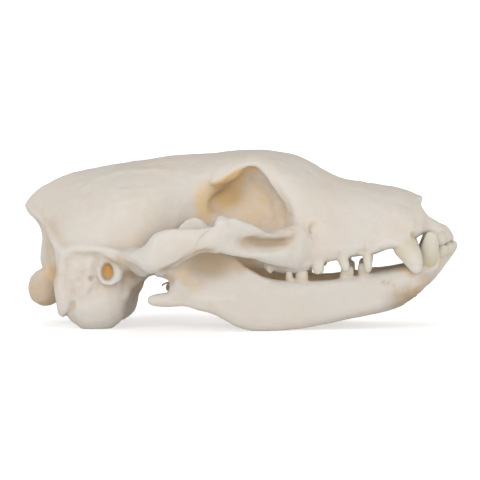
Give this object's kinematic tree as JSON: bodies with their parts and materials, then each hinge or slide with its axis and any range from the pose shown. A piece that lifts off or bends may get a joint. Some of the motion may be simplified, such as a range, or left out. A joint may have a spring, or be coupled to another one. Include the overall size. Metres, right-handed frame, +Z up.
{
  "type": "aardwolf skull",
  "caption": "Life-size aardwolf skull with its lower jaw, long low snout, arched cheekbones, round ear capsules and small peg teeth, resting on its jaw and ear capsules",
  "frame": {"origin": "on the surface the skull rests on, under the middle of its bounding box", "axes": "+X towards the nose, +Y towards the skull's own left side, +Z up as it rests on its lower jaw and ear capsules"},
  "size_m": [0.1438, 0.0868, 0.0583],
  "materials": {
    "bone": "dry cleaned bone, matt, slightly polished on the teeth",
    "wire": "dull steel wire"
  },
  "bodies": {
    "root": {"braincase": "bone", "rostrum": "bone", "occiput": "bone", "zygomatic_right": "bone", "zygomatic_left": "bone", "bulla_right": "bone", "bulla_left": "bone", "mandible_right": "bone", "mandible_left": "bone", "jaw_wire_right": "wire", "jaw_wire_left": "wire"}
  },
  "joints": []
}
